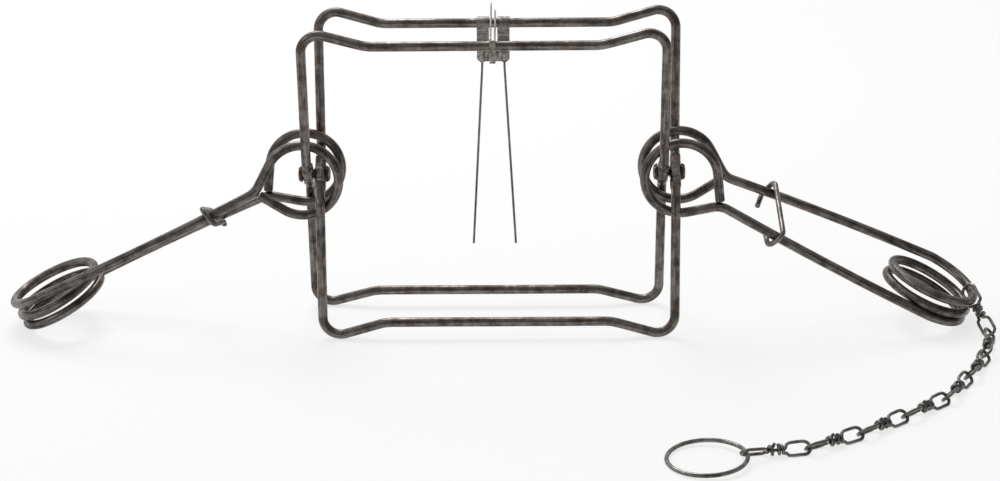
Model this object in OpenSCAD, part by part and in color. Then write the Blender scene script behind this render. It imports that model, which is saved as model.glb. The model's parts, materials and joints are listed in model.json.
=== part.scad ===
// Double-spring body grip trap, standing open on its lower bars.
// Two rod jaws cross at riveted side pivots, two torsion springs hold them by their eyes,
// and a chain of knotted links runs from one coil to an end ring.
// Lengths are in millimetres; +X is to the right, +Y away from the front, +Z up.

/* [Jaws] */
// Diameter of the jaw rod
rod_d = 8; // [6:0.1:9.5]
// Distance from the middle of the trap to the middle of each pivot, along X
pivot_x = 149.4; // [120:1:200]
// How much further in than its pivots a jaw's front half stands, and further out its back half
front_in = 0.9; // [0:0.1:1]
// Free gap between the two jaws' rods, side by side at a pivot
jaw_gap = 2.4; // [2.4:0.1:4]
// Height of a cross bar above or below the pivot
bar_h = 120; // [100:1:160]
// Distance of a cross bar in front of or behind the pivot
bar_spread = 38; // [32:0.5:50]
// Half the straight middle stretch of a cross bar
bar_straight = 96.2; // [70:0.5:110]
// Slope of the bar between its straight stretch and the corner, in degrees
bar_rise = 15.5; // [8:0.5:22]
// Bend radius at a jaw's corner, to the rod's centre line
corner_r = 15; // [10:0.5:20]
// Bend radius at the ends of the straight stretch
kink_r = 40; // [12:1:60]
// Where a side rod's line would meet the pivot's height, in front of or behind it
side_offset = 23; // [20:0.5:26]
// Height of the elbow between a side rod and its crossing piece
elbow_h = 17; // [14:0.5:20]
// Bend radius of that elbow
elbow_r = 10; // [6:0.5:14]

/* [Pivots] */
// Thickness of the boss forged on the rod where the rivet passes, along the rivet
boss_t = 9.2; // [9.2:0.1:9.6]
// Width of that boss
boss_w = 12.5; // [10:0.5:14]
// Length of that boss, along the crossing piece
boss_l = 36; // [20:0.5:36]
// Diameter of the rivet's shank
rivet_d = 6.4; // [4:0.1:7]
// Diameter of the rivet's heads
rivet_head_d = 13; // [10:0.5:16]
// Thickness of the rivet's heads
rivet_head_t = 1.9; // [1.5:0.1:4]
// Outer diameter of the washers under the heads
washer_d = 14; // [11:0.5:18]
// Thickness of the washers under the heads
washer_t = 1.2; // [0.8:0.1:2.5]
// Outer diameter of the spacer between the jaws
spacer_d = 9.4; // [8.5:0.1:12]

/* [Springs] */
// Diameter of the spring wire
wire_d = 8; // [6:0.1:8.4]
// Radius of the coil, to the wire's centre line
coil_r = 36.4; // [28:0.1:45]
// Mean rise of the coil in one turn
coil_pitch = 10.5; // [10.4:0.1:15]
// How far the coil's middle lies below half its height, which opens the upper turns for the chain
coil_sag = 2.4; // [2.3:0.1:2.6]
// Distance from the centre of the eyes to the coil's axis
spring_l = 239; // [200:1:300]
// Radius of an eye, to the wire's centre line
eye_r = 30.5; // [29:0.1:34]
// How far an eye's centre lies outside the pivot
eye_out = 8.9; // [4:0.1:10]
// Distance from an eye's centre to the bend where the arm begins
eye_bend = 41; // [40:0.5:50]
// How far an arm bows outwards at its middle
arm_bow = 5.9; // [0:0.1:7]
// How far each coil is tipped about its spring's long axis, with its back up, in degrees
coil_tip = 3; // [0:0.5:6]

/* [Safety hooks] */
// Diameter of the hook wire
hook_d = 4.5; // [3:0.1:5.5]
// Distance of a hook from the eye's centre, along the spring
hook_u = 90; // [70:1:120]
// Length of the tail behind the far arm
hook_tail = 15; // [10:0.5:22]
// Length of the tail behind the near arm
hook_heel = 9; // [7:0.5:14]

/* [Dog and trigger] */
// Thickness of the dog's sheet
dog_t = 1.5; // [1:0.1:2]
// Overall width of the dog's channel
dog_w = 5; // [4.2:0.1:6]
// Height of the dog's lever
dog_h = 9; // [7:0.5:12]
// How far the dog's tip reaches behind the back bar
dog_tail = 22; // [14:1:30]
// Place of the dog and the trigger along the bars
trigger_x = 2; // [-20:1:20]
// Thickness of the trigger's sheet
plate_t = 1.2; // [0.8:0.1:1.6]
// Width of the trigger plate
plate_w = 27.6; // [22:0.2:36]
// Length of the trigger plate below its bar
plate_l = 32; // [24:0.5:40]
// Width of the slot in the trigger plate, around the dog
slot_w = 7; // [6.4:0.1:9]
// Diameter of the trigger wires
trigger_wire_d = 2; // [1.5:0.1:2.4]
// Length of a trigger wire below the plate
trigger_wire_l = 158.5; // [120:0.5:180]
// Distance between the trigger wires at the plate
trigger_wire_gap = 18.8; // [14:0.2:22]
// Lean of each trigger wire away from the other, in degrees
trigger_wire_lean = 3.2; // [0:0.1:8]

/* [Chain] */
// Diameter of the chain wire
chain_d = 2.6; // [2.2:0.1:2.8]
// Length of one link from joint to joint
link_pitch = 50; // [46:0.5:60]
// Half width of a link's loop, to the wire's centre line
link_b = 5.2; // [4.8:0.1:6]
// Diameter of the end ring's wire
ring_d = 3.4; // [2.6:0.1:4]
// Radius of the end ring, to the wire's centre line
ring_r = 30; // [24:0.5:36]

/* [Hidden] */
$fn = 48;

// Clearances
seat_gap = 0.3;
run_gap = 0.05;
eye_gap = 0.4;
hook_gap = 1.8;
link_gap = 0.5;
hold_gap = 0.9;

// How much thicker a bend is on each side than its straights, and how far these reach into it
bend_swell = 0.03;
bend_lap = 0.5;

// Faces round a swept wire, and what one step of a curve turns
spring_sides = 8;
link_sides = 6;
arc_step = 15;

// Colours
rod_colour = [0.36, 0.34, 0.32];
spring_colour = [0.34, 0.32, 0.31];
sheet_colour = [0.62, 0.61, 0.58];
chain_colour = [0.45, 0.44, 0.43];

rod_r = rod_d / 2;
wire_r = wire_d / 2;
jaw_off = (rod_d + jaw_gap) / 2;
corner_h = bar_h + (pivot_x - bar_straight) * tan(bar_rise);

// The trap stands on the outsides of its lower corner bends
stand_h = bar_h + (pivot_x - corner_r - bar_straight) * tan(bar_rise)
    - corner_r / cos(bar_rise) + corner_r + rod_r + bend_swell;

// Vector helpers
function unit(v) = v / norm(v);
function turn(u, v) = acos(max(-1, min(1, unit(u) * unit(v))));
function any_normal(t) = abs(t[2]) < 0.8 ? unit(cross(t, [0, 0, 1])) : unit(cross(t, [1, 0, 0]));
function rot_x(p, a) = [p[0], p[1] * cos(a) - p[2] * sin(a), p[1] * sin(a) + p[2] * cos(a)];
function frame_matrix(x, y, z, at) = [
    [x[0], y[0], z[0], at[0]],
    [x[1], y[1], z[1], at[1]],
    [x[2], y[2], z[2], at[2]],
    [0, 0, 0, 1]];

// A straight round bar between two points
module bar(a, b, d) {
    z = unit(b - a);
    x = any_normal(z);
    multmatrix(frame_matrix(x, cross(z, x), z, a)) cylinder(h = norm(b - a), d = d);
}

// A round bend at corner p, between directions u and v
module bend(p, u, v, r, d) {
    angle = turn(u, v);
    reach = r * tan(angle / 2);
    start = p - unit(u) * reach;
    centre = p + unit(unit(v) - unit(u)) * r / cos(angle / 2);
    x = unit(start - centre);
    y = unit(u);
    multmatrix(frame_matrix(x, y, cross(x, y), centre))
        rotate_extrude(angle = angle) translate([r, 0]) circle(d = d);
}

// A bent bar along corner points, with a bend radius at each; closed joins the last to the first.
// A bend is a hair thicker than its straights, whose ends reach a little way into it.
module bent_bar(points, radii, d, closed = false) {
    n = len(points);
    last = closed ? n - 1 : n - 2;
    reach = [for (i = [0:n - 1])
        (!closed && (i == 0 || i == n - 1)) ? 0
        : radii[i] * tan(turn(points[i] - points[(i + n - 1) % n], points[(i + 1) % n] - points[i]) / 2)
            - bend_lap];
    for (i = [0:last]) {
        j = (i + 1) % n;
        way = unit(points[j] - points[i]);
        bar(points[i] + way * reach[i], points[j] - way * reach[j], d);
    }
    for (i = [closed ? 0 : 1:closed ? n - 1 : n - 2])
        bend(points[i], points[i] - points[(i + n - 1) % n], points[(i + 1) % n] - points[i],
            radii[i], d + 2 * bend_swell);
}

// A wire swept along close points, its frame carried along without twist
function tangents(p) = [for (i = [0:len(p) - 1])
    unit(p[min(i + 1, len(p) - 1)] - p[max(i - 1, 0)])];
function carried(n, t) = unit(n - (n * t) * t);
function normals(t) = [for (i = 0, n = any_normal(t[0]); i < len(t);
    n = i + 1 < len(t) ? carried(n, t[i + 1]) : n, i = i + 1) n];
module swept_wire(p, d, sides) {
    t = tangents(p);
    n = normals(t);
    count = len(p);
    points = [for (i = [0:count - 1]) for (k = [0:sides - 1])
        p[i] + d / 2 * (cos(k * 360 / sides) * n[i] + sin(k * 360 / sides) * cross(t[i], n[i]))];
    skin = [for (i = [0:count - 2]) for (k = [0:sides - 1])
        let (a = i * sides + k, b = i * sides + (k + 1) % sides)
        each [[a, a + sides, b], [b, a + sides, b + sides]]];
    start = [for (k = [1:sides - 2]) [0, k, k + 1]];
    far = (count - 1) * sides;
    finish = [for (k = [1:sides - 2]) [far, far + k + 1, far + k]];
    polyhedron(points, concat(skin, start, finish), convexity = 10);
}

// The least distance between parts of a wire that lie more than a given number of points apart
function self_gap(p, apart, d) = min([for (i = [0:len(p) - 1 - apart])
    for (j = [i + apart:len(p) - 1]) norm(p[i] - p[j])]) - d;

// Jaws: the first one's upper half stands in front of the pivots and its lower half behind
function side_y(h) = side_offset + (bar_spread - side_offset) * h / bar_h;
function jaw_half(s, in) = [
    [in - pivot_x - jaw_off, -s * side_y(elbow_h), s * elbow_h],
    [in - pivot_x - jaw_off, -s * side_y(corner_h), s * corner_h],
    [in - bar_straight - jaw_off, -s * bar_spread, s * bar_h],
    [bar_straight - in - jaw_off, -s * bar_spread, s * bar_h],
    [pivot_x - in - jaw_off, -s * side_y(corner_h), s * corner_h],
    [pivot_x - in - jaw_off, -s * side_y(elbow_h), s * elbow_h]];
half_radii = [elbow_r, corner_r, kink_r, kink_r, corner_r, elbow_r];
cross_tilt = atan2(elbow_h, side_y(elbow_h));

module crossing_boss(x) {
    translate([x, 0, 0]) rotate([-cross_tilt, 0, 0]) rotate([0, 90, 0])
        translate([0, 0, -boss_t / 2]) linear_extrude(boss_t) {
            square([boss_w, boss_l - boss_w], center = true);
            for (s = [-1, 1]) translate([0, s * (boss_l - boss_w) / 2]) circle(d = boss_w);
        }
}

module rivet_hole(x) {
    translate([x, 0, 0]) rotate([0, 90, 0])
        cylinder(h = 2 * boss_t, d = rivet_d + 2 * run_gap, center = true);
}

// A jaw, with how far in its upper half stands; its lower half stands as far out
module jaw(upper_in) {
    low = jaw_half(-1, -upper_in);
    difference() {
        union() {
            bent_bar(concat(jaw_half(1, upper_in), [for (i = [5:-1:0]) low[i]]),
                concat(half_radii, half_radii), rod_d, closed = true);
            for (s = [-1, 1]) crossing_boss(s * pivot_x - jaw_off);
        }
        for (s = [-1, 1]) rivet_hole(s * pivot_x - jaw_off);
    }
}

module jaw_a() { color(rod_colour) jaw(front_in); }
module jaw_b() { color(rod_colour) rotate([0, 0, 180]) jaw(-front_in); }

// Pivots: a rivet through both jaws, a washer under each head and a spacer between the jaws
boss_out = jaw_off + boss_t / 2;
washer_at = boss_out + seat_gap;
head_at = washer_at + washer_t + seat_gap;
spacer_t = 2 * (jaw_off - boss_t / 2 - seat_gap);

module rivet(s) {
    translate([s * pivot_x, 0, 0]) rotate([0, 90, 0]) {
        cylinder(h = 2 * head_at + rivet_head_t, d = rivet_d, center = true);
        for (k = [-1, 1]) translate([0, 0, k * (head_at + rivet_head_t / 2)]) {
            cylinder(h = rivet_head_t, d = rivet_head_d, center = true);
        }
    }
}

module ring_of(d, hole, t) {
    difference() {
        cylinder(h = t, d = d, center = true);
        cylinder(h = 2 * t, d = hole, center = true);
    }
}

module washers(s) {
    translate([s * pivot_x, 0, 0]) rotate([0, 90, 0]) {
        for (k = [-1, 1]) translate([0, 0, k * (washer_at + washer_t / 2)])
            ring_of(washer_d, rivet_d + 2 * run_gap, washer_t);
        ring_of(spacer_d, rivet_d + 2 * run_gap, spacer_t);
    }
}

module left_rivet() { color(rod_colour) rivet(-1); }
module right_rivet() { color(rod_colour) rivet(1); }
module left_washers() { color(sheet_colour) washers(-1); }
module right_washers() { color(sheet_colour) washers(1); }

// Springs, in their own frame: u along the spring from the eyes to the coil, v across, w up
bend_w = wire_d * 0.94;

// The eyes' planes lie so that each eye touches the side rod that it slides on
side_lean = atan2(bar_spread - side_offset, bar_h);
eye_touch_h = sqrt(eye_r * eye_r - pow(eye_out + jaw_off + front_in, 2));
eye_v = side_y(eye_touch_h) - rod_r / cos(side_lean) - wire_r - eye_gap;
end_back = 2.5;
end_drop = wire_d * 0.42;
bend_round = 7;
eye_end = [eye_bend - end_back, eye_v, bend_w - end_drop];
eye_start = [eye_bend, eye_v, bend_w];

function tangent_angle(p) = atan2(p[2], p[0]) + acos(eye_r / norm([p[0], p[2]])) * (p == eye_start ? 1 : -1);
eye_from = 360 + tangent_angle(eye_end);
eye_to = tangent_angle(eye_start);
function arc_points(r, from, to, v) = let (n = ceil(abs(to - from) / arc_step))
    [for (i = [0:n]) let (a = from + (to - from) * i / n) [r * cos(a), v, r * sin(a)]];

// The far eye: from its cut end round the bottom, the front and the top to the bend
far_eye = concat([eye_end], arc_points(eye_r, eye_from, eye_to, eye_v));

// The coil, tipped about u; s is 1 for the right spring and -1 for the left one
coil_turns = 2.5;
half_stack = coil_pitch * coil_turns / 2;
arm_lean = atan2(coil_r - eye_v - 4 * arm_bow, spring_l - eye_bend);
coil_from = 90 + arm_lean;
coil_to = 90 - 360 * coil_turns - arm_lean;
coil_steps = ceil((coil_from - coil_to) / arc_step);
function stack_at(t) = half_stack * (1 - 2 * t) - 4 * coil_sag * t * (1 - t);
function coil_point(s, t) = let (a = coil_from + (coil_to - coil_from) * t)
    rot_x([spring_l + coil_r * cos(a), coil_r * sin(a), stack_at(t)], s * coil_tip);
function coil_points(s) = [for (i = [0:coil_steps]) coil_point(s, i / coil_steps)];

// The far arm, bowed outwards from the bend to the coil, and the bend that leads to it
arm_steps = 10;
function arm_point(s, t) = eye_start + (coil_point(s, 0) - eye_start) * t
    + [0, 4 * arm_bow * t * (1 - t), 0];
function arm_points(s) = [for (i = [1:arm_steps - 1]) arm_point(s, i / arm_steps)];
function corner(a, p, b, r) = let (u = unit(a - p), v = unit(b - p))
    [for (i = [0:4]) let (t = i / 4) p + u * r * (1 - t) * (1 - t) + v * r * t * t];
function half_wire(s) = concat(far_eye,
    corner(far_eye[len(far_eye) - 1], eye_start, arm_point(s, 1 / arm_steps), bend_round), arm_points(s));

// The springs droop until their coils touch the floor
function coil_clear(s, a) = min([for (p = coil_points(s)) p[2] * cos(a) - p[0] * sin(a)]) - wire_r + stand_h;
function floor_droop(s, low, high, steps) = steps == 0 ? low
    : let (middle = (low + high) / 2)
        coil_clear(s, middle) > 0 ? floor_droop(s, middle, high, steps - 1)
        : floor_droop(s, low, middle, steps - 1);
right_droop = floor_droop(1, 0, 60, 20);
left_droop = floor_droop(-1, 0, 60, 20);

function flip(p) = [p[0], -p[1], -p[2]];
function spring_points(s) = let (half = half_wire(s)) concat(half, coil_points(s),
    [for (i = [len(half) - 1:-1:0]) flip(half[i])]);
echo(coil_self_gap = self_gap(coil_points(1), 12, wire_d));

// Places of a spring's own frame in the trap: the left one is the right one turned half round
module on_spring(s) {
    rotate([0, 0, s > 0 ? 0 : 180])
        translate([pivot_x + eye_out, 0, 0]) rotate([0, s > 0 ? right_droop : left_droop, 0]) children();
}

module spring(s) { on_spring(s) swept_wire(spring_points(s), wire_d, spring_sides); }
module left_spring() { color(spring_colour) spring(-1); }
module right_spring() { color(spring_colour) spring(1); }

// Safety hooks: e runs from the near arm to the far arm, n is square to it, on the camera's side
hook_off = wire_r + hook_d / 2 + hook_gap;
hook_bend_r = 5.8;
function arm_at(s, u) = arm_point(s, (u - eye_bend) / (coil_point(s, 0)[0] - eye_bend));

// How far each corner of a hook lies along the spring from the hook's place, from tail to heel
hook_shift = [-13, -9.6, -6, 6, 0, -3.6];

module hook(s) {
    across = arm_at(s, hook_u) - [hook_u, 0, 0];
    e = unit(across);
    n = [0, -e[2], e[1]];
    half = norm(across);
    over = half + wire_r + hook_d / 2 + 2 * seat_gap;
    corners = [[half - hook_tail, -hook_off], [over, -hook_off], [over, hook_off],
        [-over, hook_off], [-over, -hook_off], [hook_heel - half, -hook_off]];
    on_spring(s) bent_bar([for (i = [0:5])
        [hook_u + hook_shift[i], 0, 0] + corners[i][0] * e + corners[i][1] * n],
        [0, hook_bend_r, hook_bend_r, hook_bend_r, hook_bend_r, 0], hook_d);
}
module left_safety_hook() { color(rod_colour) hook(-1); }
module right_safety_hook() { color(rod_colour) hook(1); }

// Dog: a channel of sheet on the front bar, its lever reaching back over the back bar
dog_reach = 2 * bar_spread;
dog_wall = 3;
dog_hub_r = rod_r + seat_gap + dog_wall;
notch_r = rod_r + seat_gap;
dog_catch = rod_r * 0.75;
strap_h = 12.5;
strap_w = 3.5;
strap_lap = 0.6;
hub_lip = 1.5;
nose_l = 8;
tall_ear = [dog_tail, 10];
short_ear = [dog_tail - 10, 5];

// One ear, from its hub on the front bar to its tail; the tail's length and lift are given
module dog_profile(tail) {
    difference() {
        union() {
            circle(r = dog_hub_r);
            translate([strap_lap / 2 - dog_hub_r, -strap_h]) square([dog_hub_r, strap_h]);
            polygon([[0, -dog_t], [dog_reach - nose_l, 0.5], [dog_reach, dog_catch],
                [dog_reach + nose_l, dog_catch], [dog_reach + tail[0], tail[1]],
                [dog_reach + tail[0] - 2, tail[1] + 3], [dog_reach + nose_l, dog_h],
                [0, dog_hub_r - strap_lap]]);
        }
        circle(r = notch_r);
        translate([dog_reach, 0]) circle(r = notch_r);
        translate([strap_w - dog_hub_r, -2 * strap_h])
            square([2 * dog_hub_r, 2 * strap_h - notch_r - hub_lip]);
    }
}

module dog_ear(x, tail) {
    translate([x, -bar_spread, bar_h]) rotate([90, 0, 90]) linear_extrude(dog_t) dog_profile(tail);
}

module dog() {
    color(sheet_colour) translate([trigger_x, 0, 0]) {
        dog_ear(-dog_w / 2, tall_ear);
        dog_ear(dog_w / 2 - dog_t, short_ear);
        translate([-dog_w / 2, -bar_spread - dog_hub_r - dog_t, bar_h - strap_h])
            cube([dog_w, dog_t + strap_lap, strap_h + dog_hub_r * 0.9]);
    }
}

// Trigger: a sheet rolled round the back bar, slotted for the dog, with the two wires in rolled seats
knuckle_r = rod_r + seat_gap + plate_t;
plate_y = bar_spread - rod_r - seat_gap - plate_t;
wire_y = plate_y - trigger_wire_d / 2 - run_gap;
wire_seat_l = 16;
slot_h = 18.5;
foot_drop = 4;
foot_bend_r = 12;

// The rivet in the plate's lower half: its place above the plate's edge, its shank and heads
stud_up = 6;
stud_d = 4;
stud_head_d = 9;
stud_head_t = 1.6;
stud_tail_d = 7;
stud_tail_t = 1.4;

module trigger_plate() {
    color(sheet_colour) translate([trigger_x, 0, 0]) difference() {
        union() {
            translate([0, bar_spread, bar_h]) rotate([0, 90, 0])
                cylinder(h = plate_w, r = knuckle_r, center = true);
            translate([0, plate_y + plate_t / 2, bar_h - plate_l / 2])
                cube([plate_w, plate_t, plate_l], center = true);
            for (s = [-1, 1])
                translate([s * trigger_wire_gap / 2, wire_y, bar_h - plate_l])
                    cylinder(h = wire_seat_l, d = trigger_wire_d + 2 * plate_t);
        }
        translate([0, bar_spread, bar_h]) rotate([0, 90, 0])
            cylinder(h = 2 * plate_w, r = rod_r + seat_gap, center = true);
        translate([0, bar_spread, bar_h + knuckle_r])
            cube([slot_w, 4 * knuckle_r, 2 * (slot_h + knuckle_r)], center = true);
        for (s = [-1, 1])
            translate([s * trigger_wire_gap / 2, wire_y, bar_h - plate_l - 1])
                cylinder(h = wire_seat_l + 2, d = trigger_wire_d + 2 * run_gap);
        translate([0, plate_y, bar_h - plate_l + stud_up]) rotate([90, 0, 0])
            cylinder(h = 4 * plate_t, d = stud_d + 2 * run_gap, center = true);
    }
}

module trigger_rivet() {
    head_gap = 0.1;
    color(sheet_colour) translate([trigger_x, plate_y, bar_h - plate_l + stud_up]) rotate([90, 0, 0]) {
        translate([0, 0, -plate_t - stud_tail_t]) cylinder(h = plate_t + 1 + stud_tail_t, d = stud_d);
        translate([0, 0, head_gap]) cylinder(h = stud_head_t, d = stud_head_d);
        translate([0, 0, -plate_t - head_gap - stud_tail_t]) cylinder(h = stud_tail_t, d = stud_tail_d);
    }
}

module trigger_wire(s) {
    top = [s * trigger_wire_gap / 2, wire_y, bar_h - plate_l + wire_seat_l];
    foot = top - [0, 0, wire_seat_l + foot_drop];
    tip = foot + trigger_wire_l * [s * sin(trigger_wire_lean), 0, -cos(trigger_wire_lean)];
    translate([trigger_x, 0, 0]) bent_bar([top, foot, tip], [0, foot_bend_r, 0], trigger_wire_d);
}
module left_trigger_wire() { color(chain_colour) trigger_wire(-1); }
module right_trigger_wire() { color(chain_colour) trigger_wire(1); }

// Chain link, along its own x from joint to joint, its two loops square to each other
wrap_r = chain_d + link_gap;
link_end = link_pitch / 2 + (chain_d + link_gap) / 2;
wrap_from = (chain_d + link_gap) / 2;
wrap_turns = 1.25;
wrap_l = wrap_turns * (chain_d + link_gap);
wrap_steps = 9;
neck_x = wrap_from + wrap_l + 2.1;
loop_from = 10;
loop_flat = 3;
loop_tilt = 45;

// Half a link: its wraps round the wire's middle, then its loop and back
function loop_arc(b, end) = [for (a = [-90:22.5:90]) [end - b + b * cos(a), b * sin(a), 0]];
function loop_points(b, end) = concat([[loop_from, -b, 0], [end - b - loop_flat, -b, 0]],
    loop_arc(b, end), [[end - b - loop_flat, b, 0], [loop_from, b * 0.86, 0]]);
function half_link(loop) = concat(
    [for (i = [0:wrap_steps]) let (a = 180 - 360 * wrap_turns * (1 - i / wrap_steps))
        [wrap_from + wrap_l * i / wrap_steps, wrap_r * cos(a), wrap_r * sin(a)]],
    [[neck_x, -wrap_r * 1.02, 0]], loop, [[neck_x, link_b * 0.25, 0], [wrap_from + wrap_l, 0, 0]]);
function tilted(p, a) = [for (q = p) rot_x(q, a)];
function turned(p) = [for (i = [len(p) - 1:-1:0]) [-p[i][0], -p[i][1], p[i][2]]];
function link_points(loop_first, tilt_first) = concat(
    tilted(half_link(loop_points(link_b, link_end)), loop_tilt),
    tilted(turned(half_link(loop_first)), tilt_first));
floor_link_points = link_points(loop_points(link_b, link_end), -loop_tilt);

// The first link's loop on the coil. The wire crosses it at a slant, this far from the loop's end
hold_b = wire_r + chain_d / 2 + hold_gap;
hold_end = link_end + 3;
hold_cross = 14;

// Points and tangents of the right coil's wire, in the trap's frame
function on_right(p) = [pivot_x + eye_out + p[0] * cos(right_droop) + p[2] * sin(right_droop), p[1],
    p[2] * cos(right_droop) - p[0] * sin(right_droop)];
hold_turn = 105;
function coil_wire(turned) = on_right(coil_point(1, turned / (coil_from - coil_to)));
hold_point = coil_wire(hold_turn);
hold_tangent = unit(coil_wire(hold_turn + 1) - hold_point);

function coil_link_points(tilt) = link_points(loop_points(hold_b, hold_end), tilt);

// Route of the chain on the floor: its first joint, then the heading of each link, in degrees
link_h = max(wrap_r, link_b * sin(loop_tilt)) + chain_d / 2 - stand_h;
first_heading = -75;
first_past = 2.6;
first_roll = 16;
first_length = hold_end - hold_cross + link_end - first_past;
first_reach = sqrt(pow(first_length, 2) - pow(hold_point[2] - link_h, 2));
floor_joint = [hold_point[0] + first_reach * cos(first_heading),
    hold_point[1] + first_reach * sin(first_heading), link_h];
headings = [-105, -117, -121, -139, -141, -149, -170];
function heading(i) = [cos(headings[i]), sin(headings[i]), 0];
function joint_at(i) = i == 0 ? floor_joint : joint_at(i - 1) + link_pitch * heading(i - 1);

// A link's points laid along x, with y across, round a middle point
function laid(points, x, y, middle) = [for (p = points) middle + p[0] * x + p[1] * y + p[2] * cross(x, y)];

// A link lying on the floor between two joints
module floor_link(a, b) {
    x = unit(b - a);
    swept_wire(laid(floor_link_points, x, cross([0, 0, 1], x), (a + b) / 2), chain_d, link_sides);
}

// The first link: one loop round the coil's wire, the other through the second link's loop
coil_link_path = let (
    x = unit(floor_joint - hold_point),
    through = [0, 0, cos(loop_tilt)] - cross(heading(0), [0, 0, 1]) * sin(loop_tilt),
    e = unit(through - (through * x) * x),
    y = cos(loop_tilt + first_roll) * e - sin(loop_tilt + first_roll) * cross(x, e),
    side = unit(cross(hold_tangent, x)),
    tilt = atan2(side * cross(x, y), side * y))
    laid(coil_link_points(tilt), x, y, hold_point + x * (hold_end - hold_cross));
echo(link_self_gap = self_gap(floor_link_points, 6, chain_d),
    first_link_self_gap = self_gap(coil_link_path, 6, chain_d));

module chain_link(i) {
    color(chain_colour) if (i == 1) swept_wire(coil_link_path, chain_d, link_sides);
    else floor_link(joint_at(i - 2), joint_at(i - 1));
}

// End ring: it hangs in the last link's loop, tipped up there, and lies on the floor at its far side
ring_heading = headings[len(headings) - 1];
ring_low = ring_d / 2 - stand_h;
ring_tip = asin((link_h - ring_low) / (2 * ring_r));
ring_seat = (ring_d + link_gap) / 2 + 0.3;
ring_hold = joint_at(len(headings)) - ring_seat * heading(len(headings) - 1);
module end_ring() {
    color(chain_colour) translate(ring_hold)
        rotate([0, 0, ring_heading]) rotate([0, ring_tip, 0])
        translate([ring_r, 0, 0]) rotate_extrude() translate([ring_r, 0]) circle(d = ring_d);
}

// The frame's origin, seen from the midpoint between the pivots: under the middle of the whole
ring_front = ring_hold[1] + ring_r * sin(ring_heading) * cos(ring_tip) - ring_r - ring_d / 2;
dog_back = bar_spread + dog_tail;
coil_left = pivot_x + eye_out + wire_r
    + max([for (p = coil_points(-1)) p[0] * cos(left_droop) + p[2] * sin(left_droop)]);
chain_right = max([for (p = coil_link_path) p[0]]) + chain_d / 2;
origin = [(chain_right - coil_left) / 2, (ring_front + dog_back) / 2, -stand_h];

translate(-origin) {
    jaw_a();
    jaw_b();
    left_rivet();
    right_rivet();
    left_washers();
    right_washers();
    left_spring();
    right_spring();
    left_safety_hook();
    right_safety_hook();
    dog();
    trigger_plate();
    trigger_rivet();
    left_trigger_wire();
    right_trigger_wire();
    for (i = [1:8]) chain_link(i);
    end_ring();
}
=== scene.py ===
# %% [markdown]
# # A body grip trap of rod, spring wire and sheet steel
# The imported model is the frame: it says where every piece is and which pieces move together. This
# script dresses that frame. Every rod and wire of the trap is drawn again as one smooth sweep,
# every sheet piece gets its folded and rounded edges, and every surface gets the steel that the
# real one has. Lengths are written in millimetres and turned to Blender's metres in one place.

import json
import math

import bmesh
import bpy
import numpy as np
from mathutils import Matrix, Vector, noise
from mathutils.kdtree import KDTree

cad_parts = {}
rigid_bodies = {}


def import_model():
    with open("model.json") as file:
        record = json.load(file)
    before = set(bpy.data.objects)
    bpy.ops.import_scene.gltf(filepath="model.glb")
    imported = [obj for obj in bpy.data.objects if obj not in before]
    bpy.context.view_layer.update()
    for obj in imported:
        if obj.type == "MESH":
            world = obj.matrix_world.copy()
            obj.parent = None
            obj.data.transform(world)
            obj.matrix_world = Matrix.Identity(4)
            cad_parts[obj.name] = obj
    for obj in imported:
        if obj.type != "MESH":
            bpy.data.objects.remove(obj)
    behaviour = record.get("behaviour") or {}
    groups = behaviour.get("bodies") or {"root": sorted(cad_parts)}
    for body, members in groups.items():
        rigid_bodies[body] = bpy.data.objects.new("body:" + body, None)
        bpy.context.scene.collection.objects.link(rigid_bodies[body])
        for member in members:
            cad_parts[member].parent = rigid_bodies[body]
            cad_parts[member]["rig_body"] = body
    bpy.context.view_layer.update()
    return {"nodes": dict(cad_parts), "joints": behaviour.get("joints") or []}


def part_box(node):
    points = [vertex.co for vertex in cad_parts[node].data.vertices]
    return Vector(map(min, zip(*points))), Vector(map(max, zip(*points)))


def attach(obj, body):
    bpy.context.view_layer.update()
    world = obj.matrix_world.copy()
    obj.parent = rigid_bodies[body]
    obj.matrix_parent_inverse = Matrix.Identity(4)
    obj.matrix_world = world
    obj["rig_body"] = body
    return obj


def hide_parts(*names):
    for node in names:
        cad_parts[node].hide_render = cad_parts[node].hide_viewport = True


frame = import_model()
joints = {j["name"]: j for j in frame["joints"]}

# %% [markdown]
# ## Where things are
# All the trap's measures hang on the point midway between its two pivots. The two rivets give that
# point, and the joints give the rest: where each chain link holds the next, how far the springs
# droop, where the dog and the trigger hang. Taking these from the frame and not typing them again
# keeps the dressed pieces on their bodies if the solids change.

# %% Places, read from the frame
MM = 0.001


def box_middle(node):
    low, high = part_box(node)
    return (np.array(low) + np.array(high)) / 2


def unit(v):
    v = np.asarray(v, float)
    return v / np.linalg.norm(v)


middle = (box_middle("left_rivet") + box_middle("right_rivet")) / 2


def joint_place(name):
    """A joint's place in millimetres, from the middle between the pivots."""
    return (np.array(joints[name]["pos_m"]) - middle) / MM


eyes_at = {"left": joint_place("left_spring_swing"), "right": joint_place("right_spring_swing")}
spring_along = {s: -unit(joints[s + "_hook_slide"]["axis"]) for s in ("left", "right")}
bar_at = joint_place("trigger_swing")
floor_z = -middle[2] / MM
print("middle", middle.round(5), "droop", round(math.degrees(math.asin(-spring_along["right"][2])), 2))

# %% [markdown]
# ## The camera
# The photograph was taken a little from above and almost square on, from far enough away that
# the rods hardly converge. Its place, tilt and focal length were fitted to measured points of the
# jaws and coils. The picture's middle isn't on the lens's axis, so the camera has a small shift.

# %% Camera
PHOTO_WIDTH, PHOTO_HEIGHT = 1000, 481
FOCAL_PX, AXIS_PX = 2236.1, (477.53, 234.52)
ELEVATION, AZIMUTH, ROLL = (math.radians(a) for a in (19.601, 0.932, -0.651))
CAMERA_AT = (16.70, -1792.29, 583.08)
SENSOR_MM = 36.0

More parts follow.
